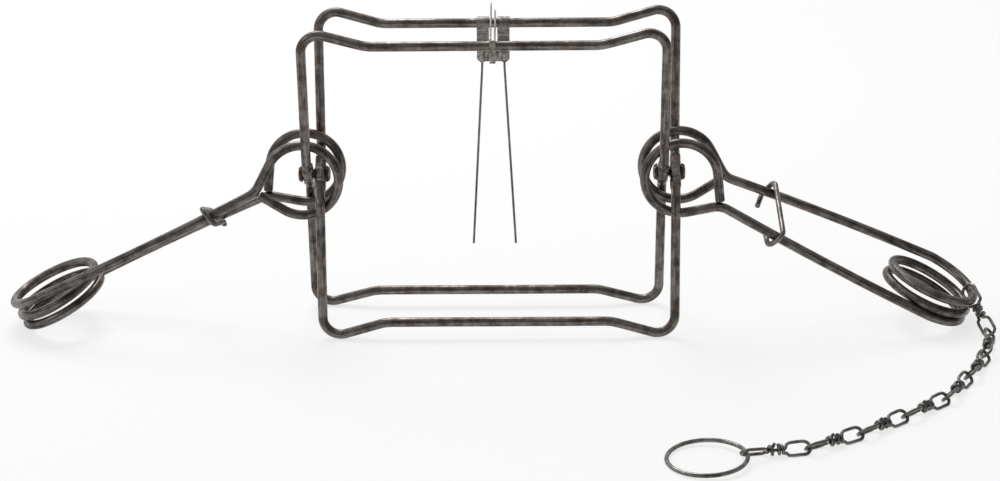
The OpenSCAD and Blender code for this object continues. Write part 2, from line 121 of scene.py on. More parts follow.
back = np.array([math.sin(AZIMUTH) * math.cos(ELEVATION),
                 -math.cos(AZIMUTH) * math.cos(ELEVATION), math.sin(ELEVATION)])
level = unit(np.cross((0, 0, 1), back))
upright = np.cross(back, level)
right = math.cos(ROLL) * level + math.sin(ROLL) * upright
above = math.cos(ROLL) * upright - math.sin(ROLL) * level

camera_data = bpy.data.cameras.new("camera")
camera_data.sensor_fit = "HORIZONTAL"
camera_data.sensor_width = SENSOR_MM
camera_data.lens = FOCAL_PX / PHOTO_WIDTH * SENSOR_MM
camera_data.shift_x = (PHOTO_WIDTH / 2 - AXIS_PX[0]) / PHOTO_WIDTH
camera_data.shift_y = (AXIS_PX[1] - PHOTO_HEIGHT / 2) / PHOTO_WIDTH
camera = bpy.data.objects.new("camera", camera_data)
bpy.context.scene.collection.objects.link(camera)
turned = Matrix(np.array([right, above, back]).T.tolist()).to_4x4()
camera.matrix_world = Matrix.Translation(Vector(middle + np.array(CAMERA_AT) * MM)) @ turned
bpy.context.scene.camera = camera
print("lens", round(camera_data.lens, 2), "at", [round(v, 3) for v in camera.location])

# %% [markdown]
# ## Lines that the rods and wires follow
# A rod or wire is bent on a former: straight stretches with a true arc at each corner. `bent`
# makes that line from corner points and bend radii. Hand-knotted wire has no true arcs, so
# `eased` passes a smooth curve through a few points instead. `spaced` adds points to long
# straight stretches, where the section will change.

# %% Bent and eased lines
ARC_STEP = math.radians(4)


def bent(corners, radii, closed=False):
    """The line of a bent rod, with an arc of the given radius at each corner."""
    p = [np.array(c, float) for c in corners]
    line = []
    for i, corner in enumerate(p):
        if radii[i] == 0:
            line.append(corner)
            continue
        before, after = unit(p[i - 1] - corner), unit(p[(i + 1) % len(p)] - corner)
        turn = math.acos(max(-1, min(1, -before @ after)))
        reach = radii[i] * math.tan(turn / 2)
        centre = corner + unit(before + after) * radii[i] / math.cos(turn / 2)
        start, end = corner + before * reach - centre, corner + after * reach - centre
        steps = max(2, math.ceil(turn / ARC_STEP))
        for k in range(steps + 1):
            a, b = math.sin(turn * (1 - k / steps)), math.sin(turn * k / steps)
            line.append(centre + (a * start + b * end) / math.sin(turn))
    return np.array(line)


def eased(points, pieces=5):
    """A smooth line through the points (a Catmull-Rom curve)."""
    p = np.array(points, float)
    p = np.vstack([2 * p[0] - p[1], p, 2 * p[-1] - p[-2]])
    line = []
    for i in range(1, len(p) - 2):
        for t in np.arange(pieces) / pieces:
            line.append(0.5 * (2 * p[i] + (p[i + 1] - p[i - 1]) * t
                               + (2 * p[i - 1] - 5 * p[i] + 4 * p[i + 1] - p[i + 2]) * t ** 2
                               + (3 * p[i] - p[i - 1] - 3 * p[i + 1] + p[i + 2]) * t ** 3))
    return np.array(line + [p[-2]])


def spaced(line, longest, closed=False):
    """The same line, with no step longer than the longest one, which is given for each place."""
    ends = np.vstack([line, line[:1]]) if closed else line
    out = []
    for a, b in zip(ends[:-1], ends[1:]):
        steps = max(1, math.ceil(np.linalg.norm(b - a) / longest((a + b) / 2)))
        out += [a + (b - a) * k / steps for k in range(steps)]
    return np.array(out if closed else out + [ends[-1]])


# %% [markdown]
# ## Sweeping a section along a line
# Blender can bevel a curve, but then the section can't change along it, and a pressed flat is
# just such a change. So the sweep is made point by point. A frame is carried along the line
# without twist, and each ring of the mesh is that frame's circle, or the section that `shape`
# gives. Each point also keeps where it would be on the straight wire before bending: two numbers
# across and one along. The steel's drawing marks follow that, as they do on real wire.

# %% Sweep
GRAIN = "grain_mm"


def carried(line, closed):
    """Tangents and two normals along a line, without twist."""
    if closed:
        tangents = np.roll(line, -1, 0) - np.roll(line, 1, 0)
    else:
        tangents = np.gradient(line, axis=0)
    tangents /= np.linalg.norm(tangents, axis=1)[:, None]
    seed = np.eye(3)[np.argmin(abs(tangents[0]))]
    normals = [unit(np.cross(tangents[0], seed))]
    for t in tangents[1:]:
        normals.append(unit(normals[-1] - (normals[-1] @ t) * t))
    normals = np.array(normals)
    if closed:
        t, n, end = tangents[0], normals[0], normals[-1]
        end = unit(end - (end @ t) * t)
        twist = math.atan2(np.cross(end, n) @ t, end @ n)
        for i, a in enumerate(np.linspace(0, twist, len(line))):
            side = np.cross(tangents[i], normals[i])
            normals[i] = math.cos(a) * normals[i] + math.sin(a) * side
    return tangents, normals, np.cross(tangents, normals)


def new_piece(name, points_mm, faces, grain=None, sharp=35):
    """A mesh object from points in millimetres about the pivots' middle."""
    mesh = bpy.data.meshes.new(name)
    mesh.from_pydata((middle + np.asarray(points_mm) * MM).tolist(), [], faces)
    mesh.validate()
    if grain is None:
        grain = np.asarray(points_mm)
    attribute = mesh.attributes.new(GRAIN, "FLOAT_VECTOR", "POINT")
    attribute.data.foreach_set("vector", np.asarray(grain, np.float32).ravel())
    mesh.shade_smooth()
    mesh.set_sharp_from_angle(angle=math.radians(sharp))
    piece = bpy.data.objects.new(name, mesh)
    bpy.context.scene.collection.objects.link(piece)
    return piece


def sweep(name, line, radius, sides=24, closed=False, shape=None, burr=0.35):
    """A rod or wire along a line. Its cut ends are chamfered by the burr."""
    line = np.array(line, float)
    if not closed:
        first, last = unit(line[1] - line[0]) * burr, unit(line[-1] - line[-2]) * burr
        line = np.vstack([line[:1], line[:1] + first, line[1:-1], line[-1:] - last, line[-1:]])
    tangents, normals, sidesteps = carried(line, closed)
    angles = np.arange(sides) * 2 * math.pi / sides
    radii = np.full((len(line), sides), float(radius))
    if shape is not None:
        radii = shape(line, normals, sidesteps, angles)
    if not closed:
        radii[[0, -1]] -= burr
    across = (np.cos(angles)[None, :, None] * normals[:, None]
              + np.sin(angles)[None, :, None] * sidesteps[:, None])
    points = (line[:, None] + radii[..., None] * across).reshape(-1, 3)
    along = np.r_[0, np.cumsum(np.linalg.norm(np.diff(line, axis=0), axis=1))]
    grain = np.stack([radii * np.cos(angles), radii * np.sin(angles),
                      np.repeat(along[:, None], sides, 1)], -1).reshape(-1, 3)
    rings = len(line)
    faces = []
    for i in range(rings if closed else rings - 1):
        for k in range(sides):
            a, b = i * sides, (i + 1) % rings * sides
            m = (k + 1) % sides
            faces.append((a + k, a + m, b + m, b + k))
    if not closed:
        faces.append(tuple(range(sides))[::-1])
        faces.append(tuple((rings - 1) * sides + k for k in range(sides)))
    return new_piece(name, points, faces, grain)


# %% [markdown]
# ## Turned pieces, sheet pieces and cuts
# Rivets and washers are round about the pivots' axis, so a profile is turned round it. Sheet
# pieces are outlines with rounded edges: Blender's flat curve fills an outline, leaves its holes
# and rounds its rim in one go, and is then turned to a mesh. Holes that cross a finished piece
# are cut with a boolean modifier, which is applied at once so that nothing depends on its cutter.

# %% Turned, sheet, joined and cut pieces
def turned_piece(name, profiles, centre, axis, segments=48):
    """Profiles of (along, radius) turned round an axis; a closed profile makes a ring."""
    axis = unit(axis)
    side = unit(np.cross(axis, (0, 0, 1) if abs(axis[2]) < 0.9 else (1, 0, 0)))
    other = np.cross(axis, side)
    points, grain, faces = [], [], []
    for profile, closed in profiles:
        base, count = len(points), len(profile)
        for k in range(segments):
            a = 2 * math.pi * k / segments
            out = math.cos(a) * side + math.sin(a) * other
            for along, radius in profile:
                points.append(np.array(centre) + axis * along + out * radius)
                grain.append((radius * math.cos(a), radius * math.sin(a), along))
        for k in range(segments):
            m = (k + 1) % segments
            for i in range(count if closed else count - 1):
                j = (i + 1) % count
                faces.append(tuple(base + v for v in
                                   (k * count + i, k * count + j, m * count + j, m * count + i)))
        if not closed:
            faces.append(tuple(base + k * count for k in range(segments)))
            faces.append(tuple(base + k * count + count - 1 for k in range(segments))[::-1])
    return new_piece(name, points, faces, grain)


def sheet_piece(name, outlines, thickness, origin, x, y, rim=0.25):
    """A sheet: its outlines lie along x and y from the origin, and it is thick along x cross y."""
    curve = bpy.data.curves.new(name, "CURVE")
    curve.dimensions, curve.fill_mode = "2D", "BOTH"
    curve.extrude, curve.bevel_depth, curve.offset = thickness / 2 - rim, rim, -rim
    curve.bevel_resolution = 2
    for outline in outlines:
        spline = curve.splines.new("POLY")
        spline.points.add(len(outline) - 1)
        for point, (u, v) in zip(spline.points, outline):
            point.co = (u, v, 0, 1)
        spline.use_cyclic_u = True
    drawn = bpy.data.objects.new(name, curve)
    bpy.context.scene.collection.objects.link(drawn)
    bpy.context.view_layer.update()
    flat = drawn.to_mesh()
    shape = bmesh.new()
    shape.from_mesh(flat)
    bmesh.ops.remove_doubles(shape, verts=shape.verts, dist=1e-4)
    bmesh.ops.recalc_face_normals(shape, faces=shape.faces)
    x, y = unit(x), unit(y)
    z = np.cross(x, y)
    shape.verts.index_update()
    local = np.array([v.co for v in shape.verts])
    points = np.array(origin) + local @ np.array([x, y, z])
    faces = [[v.index for v in f.verts] for f in shape.faces]
    shape.free()
    drawn.to_mesh_clear()
    bpy.data.objects.remove(drawn)
    return new_piece(name, points, faces, local)


def boolean(piece, tool, operation):
    """Cuts the tool out of the piece, or joins it on. The grain comes from the nearest old point."""
    old = [(v.co, tuple(g.vector)) for part in (piece, tool)
           for v, g in zip(part.data.vertices, part.data.attributes[GRAIN].data)]
    nearest = KDTree(len(old))
    for i, (place, grain) in enumerate(old):
        nearest.insert(place, i)
    nearest.balance()
    step = piece.modifiers.new(operation, "BOOLEAN")
    step.operation, step.solver, step.object = operation, "EXACT", tool
    bpy.context.view_layer.update()
    shaped = bpy.data.meshes.new_from_object(piece.evaluated_get(bpy.context.evaluated_depsgraph_get()))
    grain = [old[nearest.find(v.co)[1]][1] for v in shaped.vertices]
    shaped.attributes[GRAIN].data.foreach_set("vector", np.array(grain, np.float32).ravel())
    piece.modifiers.clear()
    piece.data = shaped
    shaped.set_sharp_from_angle(angle=math.radians(35))
    bpy.data.objects.remove(tool)
    return piece


def rolled(piece, along):
    """Gives a finished sheet piece the grain of its rolling, along one axis of the trap."""
    places = np.array([v.co for v in piece.data.vertices]) - middle
    grain = np.roll(places / MM, 2 - along, axis=1)
    piece.data.attributes[GRAIN].data.foreach_set("vector", grain.astype(np.float32).ravel())


def arc(centre, radius, start, end, steps=12):
    """Points on an arc from one angle to another, in degrees."""
    return [(centre[0] + radius * math.cos(math.radians(start + (end - start) * k / steps)),
             centre[1] + radius * math.sin(math.radians(start + (end - start) * k / steps)))
            for k in range(steps + 1)]


# %% [markdown]
# ## The steels
# Every piece is plain carbon steel, but made in different ways, and that is what the eye reads.
# Spring wire is drawn and oil tempered, which leaves it brown-grey with faint marks along it.
# The jaws' rod is drawn too and then dipped in dark wax or oil. Rivets are forged and take a
# rusty tint first. The dog and trigger are stamped from lighter sheet, with a dull zinc flash.
# Chain and hook wire is drawn thin and handled more, so it is brighter. All of them are metal in
# a thin dark film: the metal gives the soft streak of light, and the film takes its colour down.

# %% Steel materials
def linear(hex_colour):
    """An sRGB colour such as #6b6560, as the linear numbers that shaders take."""
    channels = [int(hex_colour[i:i + 2], 16) / 255 for i in (1, 3, 5)]
    return [c / 12.92 if c <= 0.04045 else ((c + 0.055) / 1.055) ** 2.4 for c in channels] + [1.0]


def add(tree, kind, inputs, **settings):
    """Adds a node; an input is given a value, or another node's output to link."""
    node = tree.nodes.new(kind)
    for key, value in settings.items():
        setattr(node, key, value)
    for socket, value in inputs.items():
        if isinstance(value, bpy.types.NodeSocket):
            tree.links.new(value, node.inputs[socket])
        else:
            node.inputs[socket].default_value = value
    return node


def film_steel(name, pale, dark, stain, stain_share, roughness, metallic, streak_mm, patch_mm,
               bump_mm):
    """Steel in a thin film: streaks along the grain, patches of thicker film, specks and stain."""
    material = bpy.data.materials.new(name)
    material.use_nodes = True
    tree = material.node_tree
    tree.nodes.clear()
    grain = add(tree, "ShaderNodeAttribute", {}, attribute_name=GRAIN)
    drawn = add(tree, "ShaderNodeMapping", {"Vector": grain.outputs["Vector"],
                                            "Scale": (1 / streak_mm, 1 / streak_mm, 0.05 / streak_mm)})
    streaks = add(tree, "ShaderNodeTexNoise", {"Vector": drawn.outputs["Vector"], "Scale": 1.0,
                                               "Detail": 3.0, "Roughness": 0.6})
    patches = add(tree, "ShaderNodeTexNoise", {"Vector": grain.outputs["Vector"],
                                               "Scale": 1 / patch_mm, "Detail": 4.0,
                                               "Roughness": 0.6})
    specks = add(tree, "ShaderNodeTexNoise", {"Vector": grain.outputs["Vector"],
                                              "Scale": 1 / SPECK_MM, "Detail": 2.0,
                                              "Roughness": 0.7})
    film = add(tree, "ShaderNodeMath", {0: patches.outputs["Fac"], 1: streaks.outputs["Fac"]},
               operation="ADD")
    depth = add(tree, "ShaderNodeMapRange", {"Value": film.outputs["Value"], "From Min": 0.82,
                                             "From Max": 1.18})
    colour = add(tree, "ShaderNodeMix", {"Factor": depth.outputs["Result"], "A": linear(dark),
                                         "B": linear(pale)}, data_type="RGBA")
    flecks = add(tree, "ShaderNodeMapRange", {"Value": specks.outputs["Fac"], "From Min": 0.6,
                                              "From Max": 0.7, "To Max": 0.55})
    flecked = add(tree, "ShaderNodeMix", {"Factor": flecks.outputs["Result"],
                                          "A": colour.outputs["Result"], "B": linear(FLECK)},
                  data_type="RGBA")
    spots = add(tree, "ShaderNodeTexNoise", {"Vector": grain.outputs["Vector"],
                                             "Scale": 0.7 / patch_mm, "Detail": 5.0,
                                             "Roughness": 0.65}, noise_dimensions="4D")
    rusted = add(tree, "ShaderNodeMapRange", {"Value": spots.outputs["Fac"],
                                              "From Min": 0.60 - 0.25 * stain_share,
                                              "From Max": 0.72 - 0.2 * stain_share,
                                              "To Max": 0.85})
    stained = add(tree, "ShaderNodeMix", {"Factor": rusted.outputs["Result"],
                                          "A": flecked.outputs["Result"], "B": linear(stain)},
                  data_type="RGBA")
    gloss = add(tree, "ShaderNodeMapRange", {"Value": film.outputs["Value"], "From Min": 0.8,
                                             "From Max": 1.2, "To Min": roughness + 0.12,
                                             "To Max": roughness - 0.08})
    relief = add(tree, "ShaderNodeMath", {0: streaks.outputs["Fac"], 1: specks.outputs["Fac"]},
                 operation="ADD")
    bump = add(tree, "ShaderNodeBump", {"Height": relief.outputs["Value"], "Strength": 0.7,
                                        "Distance": bump_mm * MM})
    shader = add(tree, "ShaderNodeBsdfPrincipled", {"Base Color": stained.outputs["Result"],
                                                    "Metallic": metallic,
                                                    "Roughness": gloss.outputs["Result"],
                                                    "Normal": bump.outputs["Normal"]})
    add(tree, "ShaderNodeOutputMaterial", {"Surface": shader.outputs["BSDF"]})
    return material


# Real specks are a tenth of a millimetre. They are drawn at a size that shows in the picture.
SPECK_MM, FLECK = 0.9, "#a39e98"
# Streaks finer than about 1.5 mm don't show in the picture, so none is drawn finer than that.
waxed_rod = film_steel("waxed_drawn_rod", "#7f7974", "#423d3a", "#56403a", 0.25,
                       0.34, 0.9, 1.6, 9, 0.07)
tempered_wire = film_steel("oil_tempered_spring_wire", "#7a7470", "#3e3936", "#52443c", 0.2,
                           0.36, 0.9, 1.6, 10, 0.07)
hammered_steel = film_steel("hammered_rivet_steel", "#9b948c", "#3b3431", "#5f4338", 0.45,
                            0.45, 0.85, 1.8, 3, 0.15)
washer_steel = film_steel("stamped_washer_steel", "#6a5850", "#2b2422", "#5f3a31", 0.6,
                          0.5, 0.8, 1.8, 4, 0.10)
flashed_sheet = film_steel("stamped_zinc_flashed_sheet", "#a19d97", "#67635e", "#857b70", 0.2,
                           0.42, 0.8, 1.6, 4, 0.09)
hook_wire = film_steel("drawn_hook_wire", "#7f7a76", "#474340", "#584a42", 0.15,
                       0.36, 0.9, 1.5, 8, 0.05)
trigger_wire = film_steel("drawn_trigger_wire", "#7e7b79", "#575553", "#5f5852", 0.05,
                          0.38, 0.9, 1.5, 10, 0.03)
chain_wire = film_steel("drawn_chain_wire", "#8a8783", "#4a4745", "#5d5450", 0.15,
                        0.34, 0.9, 1.5, 6, 0.05)
print("steels", [m.name for m in bpy.data.materials if m.users == 0])


# %% [markdown]
# ## Putting a piece in the frame
# Each dressed piece rides on the body that its solid rides on, stands in for that solid, and
# takes its steel. One function does the three together, so that none
# is forgotten, and prints how far the piece's box departs from the solid's.

# %% Dress one node
def dress(piece, node, material):
    piece.data.materials.clear()
    piece.data.materials.append(material)
    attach(piece, frame["nodes"][node]["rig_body"])
    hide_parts(node)
    low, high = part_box(node)
    points = np.array([v.co for v in piece.data.vertices])
    off = max(abs(points.min(0) - low).max(), abs(points.max(0) - high).max()) / MM
    print(f"{piece.name}: {len(piece.data.polygons)} faces, box off by {off:.2f} mm")
    return piece


# %% [markdown]
# ## The two jaws
# A jaw is one 8 mm rod bent to a square that is jogged: its upper half lies in front of the
# pivots and its lower half behind, or the other way round, and the rod crosses over at each
# pivot. There it was upset hot between dies for the rivet, which left a rough block with a step
# at both ends, where the dies stopped. So the section changes there from a circle to a rounded
# rectangle, hammered a little uneven.

# %% Jaws
ROD_R = 4.0
PIVOT_X, JAW_OFF, FRONT_IN = 149.4, 5.2, 0.9
BAR_H, BAR_SPREAD, BAR_STRAIGHT, BAR_RISE = 120.0, 38.0, 96.2, 15.5
SIDE_OFFSET, ELBOW_H = 23.0, 17.0
ELBOW_R, CORNER_R, KINK_R = 10.0, 15.0, 40.0
BOSS_T, BOSS_W, BOSS_HALF, BOSS_STEP = 9.1, 12.4, 17.6, 1.8
DENT_MM, DENT_DEPTH = 3.5, 0.35
HOLE_R = 3.25

corner_h = BAR_H + (PIVOT_X - BAR_STRAIGHT) * math.tan(math.radians(BAR_RISE))


def side_y(height):
    return SIDE_OFFSET + (BAR_SPREAD - SIDE_OFFSET) * height / BAR_H


def jaw_half(s, inwards):
    """Corners of a jaw's upper (s = 1) or lower half, whose sides stand in by the given amount."""
    side_x, kink_x = PIVOT_X - inwards, BAR_STRAIGHT - inwards
    side = [(-side_x, side_y(ELBOW_H), ELBOW_H), (-side_x, side_y(corner_h), corner_h),
            (-kink_x, BAR_SPREAD, BAR_H)]
    half = side + [(-x, y, z) for x, y, z in side[::-1]]
    return [(x - JAW_OFF, -s * y, s * z) for x, y, z in half]


def from_pivot(place):
    return math.hypot(place[1], place[2])


def rod_section(line, normals, sidesteps, angles):
    """The rod's radius all round each ring: a circle, or a forged block near a crossing."""
    radii = np.full((len(line), len(angles)), ROD_R)
    for i, place in enumerate(line):
        forged = min(1, max(0, (BOSS_HALF - from_pivot(place)) / BOSS_STEP))
        if forged == 0:
            continue
        thin = ROD_R + (BOSS_T / 2 - ROD_R) * forged
        waist = 1 - 0.16 * (from_pivot(place) / BOSS_HALF) ** 2
        wide = ROD_R + (waist * BOSS_W / 2 - ROD_R) * forged
        power = 2 + 3 * forged
        pivot_way = math.atan2(sidesteps[i][0], normals[i][0])
        c, s = abs(np.cos(angles - pivot_way)), abs(np.sin(angles - pivot_way))
        radii[i] = ((c / thin) ** power + (s / wide) ** power) ** (-1 / power)
        for k, a in enumerate(angles):
            out = place + radii[i, k] * (math.cos(a) * normals[i] + math.sin(a) * sidesteps[i])
            radii[i, k] += forged * DENT_DEPTH * (noise.noise(Vector(out) / DENT_MM) - 0.2)
    return radii


def jaw(name, turn):
    upper, lower = jaw_half(1, turn * FRONT_IN), jaw_half(-1, -turn * FRONT_IN)
    half_radii = [ELBOW_R, CORNER_R, KINK_R, KINK_R, CORNER_R, ELBOW_R]
    line = spaced(bent(upper + lower[::-1], half_radii * 2, closed=True),
                  lambda place: 0.8 if from_pivot(place) < 1.3 * BOSS_HALF else 10, closed=True)
    line = line * (turn, turn, 1)
    rod = sweep(name, line, ROD_R, sides=36, closed=True, shape=rod_section)
    for s in (-1, 1):
        at = (turn * (s * PIVOT_X - JAW_OFF), 0, 0)
        drill = turned_piece("drill", [([(-2 * ROD_R, HOLE_R), (2 * ROD_R, HOLE_R)], False)],
                             at, (1, 0, 0), 32)
        boolean(rod, drill, "DIFFERENCE")
    return rod


dress(jaw("jaw_a_rod", 1), "jaw_a", waxed_rod)
dress(jaw("jaw_b_rod", -1), "jaw_b", waxed_rod)

# %% [markdown]
# ## Rivets, washers and spacers
# A rivet is a shank whose two ends were hammered over washers. Hammering spreads the head into a
# low dome with an uneven rim, so the dome's profile is rounded and its rim is nudged a little by
# a slow wave. The washers are stamped, with one rounded and one sharper edge.

# %% Pivots
RIVET_R, HEAD_R, HEAD_AT, HEAD_T = 3.2, 6.5, 11.45, 2.05
WASHER_R, WASHER_T, WASHER_AT = 7.0, 1.4, 10.0
SPACER_R, SPACER_T = 4.7, 0.6


def ring_profile(at, thick, inner, outer, soft):
    low, high = at - thick / 2, at + thick / 2
    return [(low, inner), (low, outer - soft), (low + soft, outer), (high - soft, outer),
            (high, outer - soft), (high, inner)], True


def head_profile(base, way):
    dome = [(0.0, RIVET_R), (0.0, HEAD_R - 0.35), (0.1, HEAD_R - 0.05), (0.35, HEAD_R),
            (0.6, HEAD_R - 0.35), (0.78, HEAD_R - 1.2), (0.92, HEAD_R - 2.5), (1.0, 2.2)]
    return [(way * (base + a * HEAD_T), r) for a, r in dome]


def hammered(piece, centre, depth):
    """Moves each point of a round piece outwards or inwards, by slow and quick dents."""
    for v in piece.data.vertices:
        place = Vector((np.array(v.co) - middle) / MM) - Vector(centre)
        out = Vector((0, place.y, place.z))
        if out.length > RIVET_R + 1:
            dent = noise.noise(out.normalized() * 1.7 + Vector(centre)) + 0.6 * noise.noise(place / 1.8)
            v.co += out.normalized() * (dent - 0.3) * depth * MM
    return piece


def rivet(name, s):
    profile = head_profile(HEAD_AT, -1)[::-1] + head_profile(HEAD_AT, 1)
    head = turned_piece(name, [(profile, False)], (s * PIVOT_X, 0, 0), (1, 0, 0))
    return hammered(head, (s * PIVOT_X, 0, 0), 0.7)


def washers(name, s):
    middles = (-WASHER_AT - WASHER_T / 2, WASHER_AT + WASHER_T / 2)
    rings = [ring_profile(at, WASHER_T, HOLE_R, WASHER_R, 0.3) for at in middles]
    rings.append(ring_profile(0, SPACER_T, HOLE_R, SPACER_R, 0.2))
    return hammered(turned_piece(name, rings, (s * PIVOT_X, 0, 0), (1, 0, 0)), (s * PIVOT_X, 0, 0), 0.4)


for side, s in (("left", -1), ("right", 1)):
    dress(rivet(side + "_rivet_hammered", s), side + "_rivet", hammered_steel)
    dress(washers(side + "_washers_stamped", s), side + "_washers", washer_steel)

# %% [markdown]
# ## The springs
# Each spring is a single 8 mm wire. It starts at a cut end, goes round the jaws' rods as an open
# eye, bends into a long arm, makes two and a half turns of coil and comes back by the second arm
# and eye. Held closed by its hook, each arm bows outwards a little, and the turns of the coil lie
# close together but for the room that the chain's link keeps open. The line is worked out in the
# spring's own directions: u along the spring, v across and w up. The second half is the first one
# turned half round about u, which gives both eyes.

# %% Springs
WIRE_R, COIL_R, COIL_PITCH, COIL_SAG, COIL_TURNS = 4.0, 36.4, 10.5, 2.4, 2.5
COIL_TIP = {"left": math.radians(-3), "right": math.radians(3)}
SPRING_L, ARM_BOW = 239.0, 5.9
EYE_R, EYE_BEND, END_BACK, BEND_W, END_DROP, BEND_ROUND = 30.5, 41.0, 2.5, 7.52, 3.36, 7.0
SIDE_LEAN = math.atan2(BAR_SPREAD - SIDE_OFFSET, BAR_H)
EYE_OUT, EYE_GAP = 8.9, 0.4
eye_touch_h = math.sqrt(EYE_R ** 2 - (EYE_OUT + JAW_OFF + FRONT_IN) ** 2)
eye_v = side_y(eye_touch_h) - ROD_R / math.cos(SIDE_LEAN) - WIRE_R - EYE_GAP

eye_end = np.array([EYE_BEND - END_BACK, eye_v, BEND_W - END_DROP])
eye_start = np.array([EYE_BEND, eye_v, BEND_W])


def tangent_angle(p, way):
    return math.atan2(p[2], p[0]) + way * math.acos(EYE_R / math.hypot(p[0], p[2]))


arm_lean = math.atan2(COIL_R - eye_v - 4 * ARM_BOW, SPRING_L - EYE_BEND)
coil_from, coil_to = math.pi / 2 + arm_lean, math.pi / 2 - 2 * math.pi * COIL_TURNS - arm_lean


def coil_point(side, t):
    """A point of the coil at its share of the wire from the far arm to the near one."""
    a = coil_from + (coil_to - coil_from) * t
    stack = COIL_PITCH * COIL_TURNS * (0.5 - t) - 4 * COIL_SAG * t * (1 - t)
    x, y = COIL_R * math.cos(a), COIL_R * math.sin(a)
    c, s = math.cos(COIL_TIP[side]), math.sin(COIL_TIP[side])
    return np.array([SPRING_L + x, y * c - stack * s, y * s + stack * c])


def arm_point(side, t):
    """A point of the far arm at its share of the way from the eye to the coil."""
    return (eye_start + (coil_point(side, 0) - eye_start) * t
            + np.array([0, 4 * ARM_BOW * t * (1 - t), 0]))


def spring_line(side):
    around = np.linspace(2 * math.pi + tangent_angle(eye_end, -1), tangent_angle(eye_start, 1), 66)
    eye = [eye_end] + [np.array([EYE_R * math.cos(a), eye_v, EYE_R * math.sin(a)]) for a in around]
    into, out = unit(eye[-1] - eye_start), unit(arm_point(side, 0.1) - eye_start)
    bend = [eye_start + into * BEND_ROUND * (1 - t) ** 2 + out * BEND_ROUND * t ** 2
            for t in np.linspace(0, 1, 11)]
    half = eye + bend + [arm_point(side, t) for t in np.linspace(0.06, 0.98, 24)]
    coil = [coil_point(side, t) for t in np.linspace(0, 1, 231)]
    return half + coil + [p * (1, -1, -1) for p in half[::-1]]


def on_spring(side, points):
    """From the spring's own directions to the trap's."""
    u = spring_along[side]
    v = np.array([0, 1, 0]) * (1 if side == "right" else -1)
    return eyes_at[side] + np.asarray(points) @ np.array([u, v, np.cross(u, v)])


for side in ("left", "right"):
    wire = sweep(side + "_spring_wire", spaced(on_spring(side, spring_line(side)), lambda place: 8), WIRE_R,
                 sides=28, burr=0.5)
    dress(wire, side + "_spring", tempered_wire)
print("eye_v", round(eye_v, 4), "arm lean", round(math.degrees(arm_lean), 3))

# %% [markdown]
# ## The safety hooks
# A hook is a short bent wire that holds a spring's two arms together. One end is closed round the
# near arm and the other hooks over the far arm. It is drawn along the line from arm to arm.

# %% Safety hooks
HOOK_R, HOOK_U, HOOK_TAIL, HOOK_HEEL, HOOK_GAP, HOOK_BEND_R = 2.25, 90.0, 15.0, 9.0, 1.8, 5.8
HOOK_SHIFT = (-13, -9.6, -6, 6, 0, -3.6)


def hook_line(side):
    share = (HOOK_U - EYE_BEND) / (coil_point(side, 0)[0] - EYE_BEND)
    far_arm = arm_point(side, share) - (HOOK_U, 0, 0)
    half, e = np.linalg.norm(far_arm), unit(far_arm)
    n = np.array([0, -e[2], e[1]])
    off = WIRE_R + HOOK_R + HOOK_GAP
    over = half + WIRE_R + HOOK_R + 0.6
    corners = [(half - HOOK_TAIL, -off), (over, -off), (over, off),
               (-over, off), (-over, -off), (HOOK_HEEL - half, -off)]
    return bent([np.array([HOOK_U + shift, 0, 0]) + a * e + b * n
                 for shift, (a, b) in zip(HOOK_SHIFT, corners)], [0] + [HOOK_BEND_R] * 4 + [0])


for side in ("left", "right"):
    wire = sweep(side + "_hook_wire", on_spring(side, hook_line(side)), HOOK_R, sides=20)
    dress(wire, side + "_safety_hook", hook_wire)

# %% [markdown]
# ## The dog
# The dog is a folded channel of sheet that turns on the front bar. Its two ears reach back over
# the back bar, with a notch each that catches it, and the taller ear ends in a lifted tip. Ears
# and fold are separate sheets here, joined to one solid, with the fold's outer corners rounded.

# %% Dog
DOG_T, DOG_W, DOG_REACH, DOG_HUB_R, DOG_HOLE_R = 1.5, 5.0, 76.0, 7.3, 4.3
STRAP_H, STRAP_W, STRAP_LAP, HUB_LIP, NOSE_L = 12.5, 3.5, 0.6, 1.5, 8.0
DOG_CATCH, DOG_H = 3.0, 9.0
TALL_EAR, SHORT_EAR = (22.0, 10.0), (12.0, 5.0)
trigger_x = bar_at[0]
front_bar = np.array([trigger_x, -BAR_SPREAD, BAR_H])


def hub_angle(height):
    return math.degrees(math.asin(height / DOG_HUB_R))


def ear_outline(tail):
    lip = -DOG_HOLE_R - HUB_LIP
    strap_in, strap_out = STRAP_W - DOG_HUB_R, STRAP_LAP / 2 - DOG_HUB_R
    outline = [(strap_out, -STRAP_H), (strap_in, -STRAP_H), (strap_in, lip)]
    outline += arc((0, 0), DOG_HUB_R, hub_angle(lip), hub_angle(-1.3))
    outline.append((DOG_REACH - NOSE_L, 0.5))
    outline += arc((DOG_REACH, 0), DOG_HOLE_R, 155, math.degrees(math.asin(DOG_CATCH / DOG_HOLE_R)), 16)
    outline += [(DOG_REACH + NOSE_L, DOG_CATCH), (DOG_REACH + tail[0], tail[1]),
                (DOG_REACH + tail[0] - 1, tail[1] + 2.4), (DOG_REACH + tail[0] - 2, tail[1] + 3),
                (DOG_REACH + NOSE_L, DOG_H)]
    outline += arc((0, 0), DOG_HUB_R, hub_angle(DOG_HUB_R - STRAP_LAP), 180 + hub_angle(2.0), 18)
    return outline


